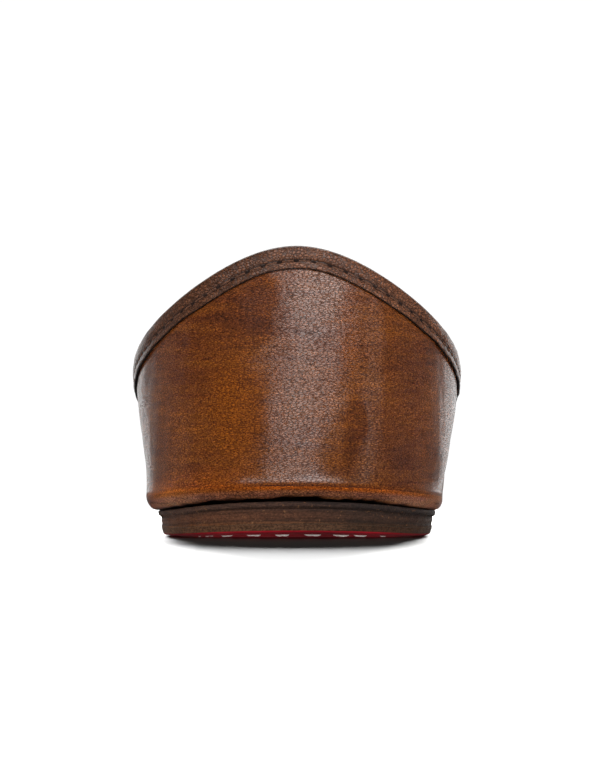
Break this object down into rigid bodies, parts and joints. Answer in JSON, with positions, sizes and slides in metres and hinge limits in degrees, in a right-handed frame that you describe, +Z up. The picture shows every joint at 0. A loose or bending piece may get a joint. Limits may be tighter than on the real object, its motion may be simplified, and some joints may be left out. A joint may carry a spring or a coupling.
{
  "type": "jutti",
  "caption": "Flat leather slip-on shoe with a raised back, a low open collar with a bound edge, a plain vamp, a tapered toe and a layered leather sole; stands empty on its sole.",
  "frame": {"origin": "on the floor, under the middle of the shoe's length and width", "axes": "+Y along the shoe towards the toe, +Z up, +X to the right when seen from behind the heel"},
  "size_m": [0.094, 0.28, 0.066],
  "materials": {
    "outsole_leather": "dyed red underside, matte",
    "midsole_leather": "stacked, cut edge, dressed and worn",
    "insole_leather": "plain, lightly polished",
    "upper_leather": "burnished, fine grain, satin gloss",
    "binding_leather": "pebbled, low gloss"
  },
  "bodies": {
    "root": {"outsole": "outsole_leather", "midsole": "midsole_leather", "insole": "insole_leather", "upper": "upper_leather", "collar_binding": "binding_leather"}
  },
  "joints": []
}
